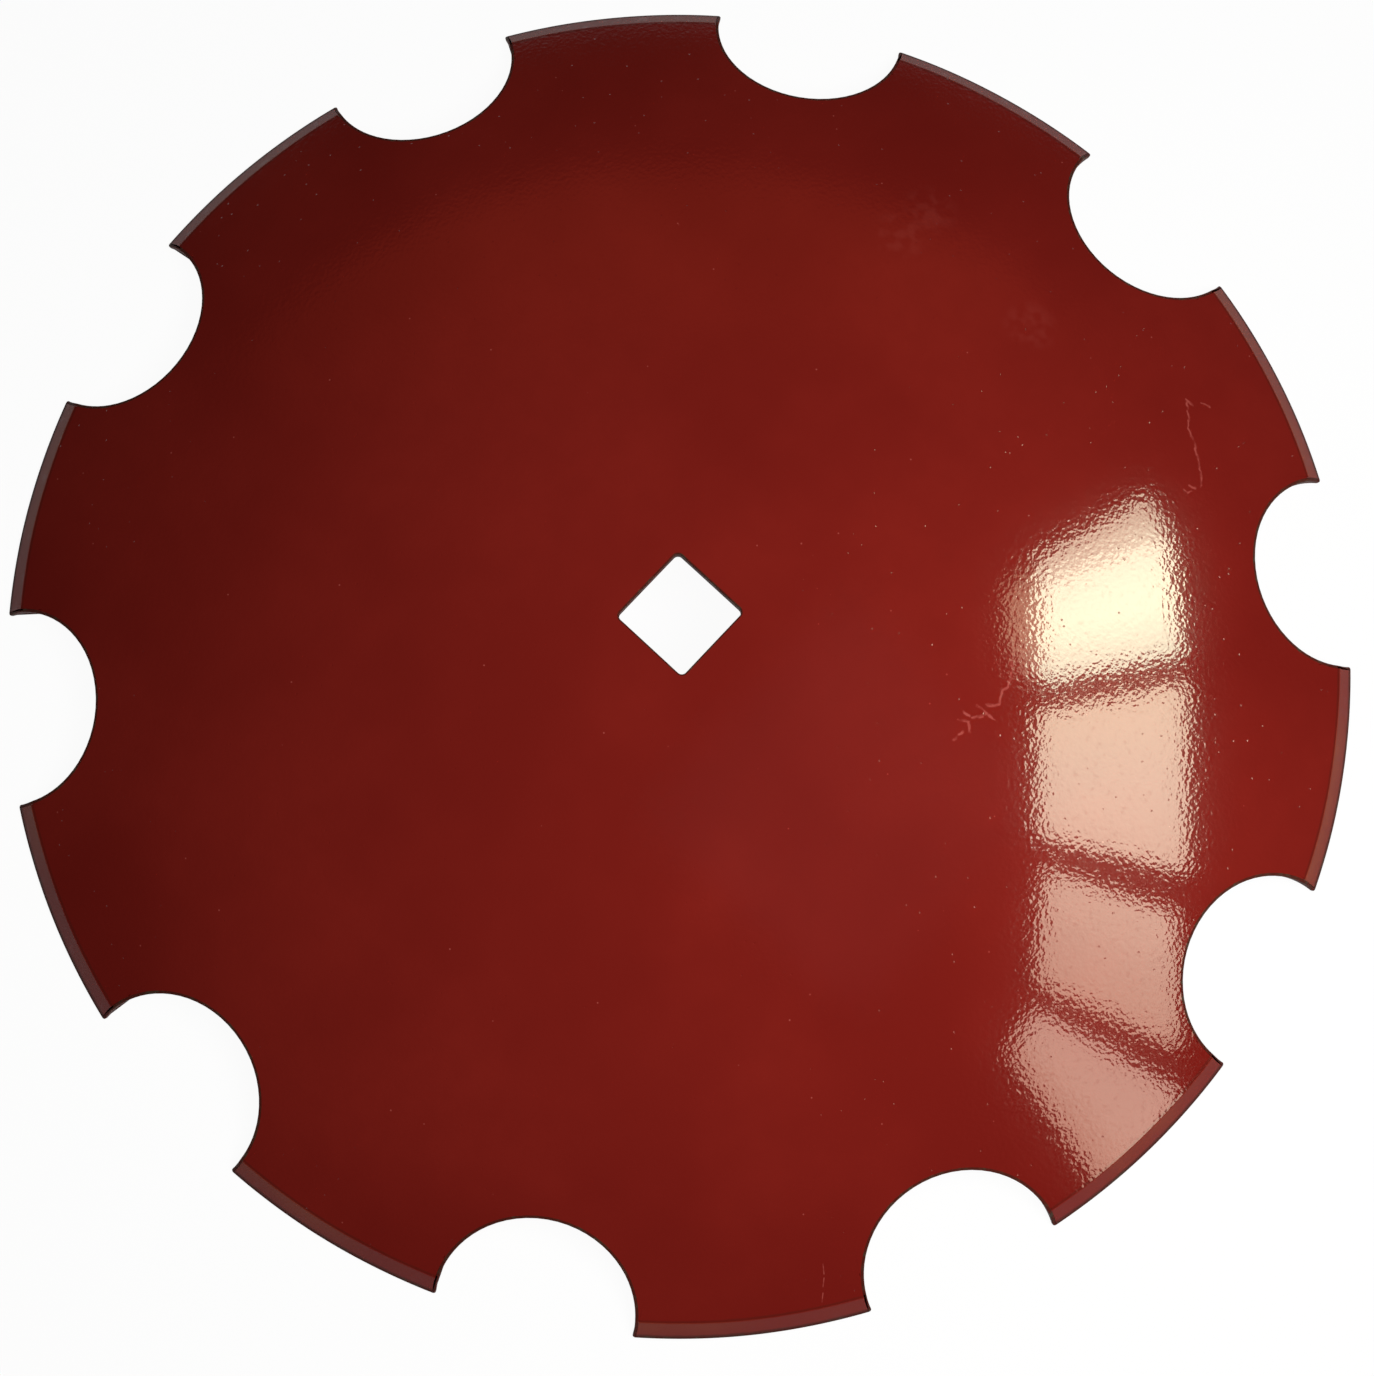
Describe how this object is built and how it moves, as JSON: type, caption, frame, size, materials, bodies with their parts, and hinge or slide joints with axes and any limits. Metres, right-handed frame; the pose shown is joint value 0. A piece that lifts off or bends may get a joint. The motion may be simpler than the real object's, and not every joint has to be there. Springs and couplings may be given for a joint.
{
  "type": "harrow disc blade",
  "caption": "Dished round steel harrow blade with a notched rim, a ground bevel on its domed face and a square axle hole.",
  "frame": {"origin": "on the disc's axis, in the plane of the lobe tips that the blade lies on", "axes": "+Z along the disc's axis, out of the domed face; X and Y square to the sides of the axle hole"},
  "size_m": [0.6582, 0.6592, 0.0714],
  "materials": {
    "enamelled_steel": "dark red gloss enamel over steel"
  },
  "bodies": {
    "root": {"disc_blade": "enamelled_steel"}
  },
  "joints": []
}
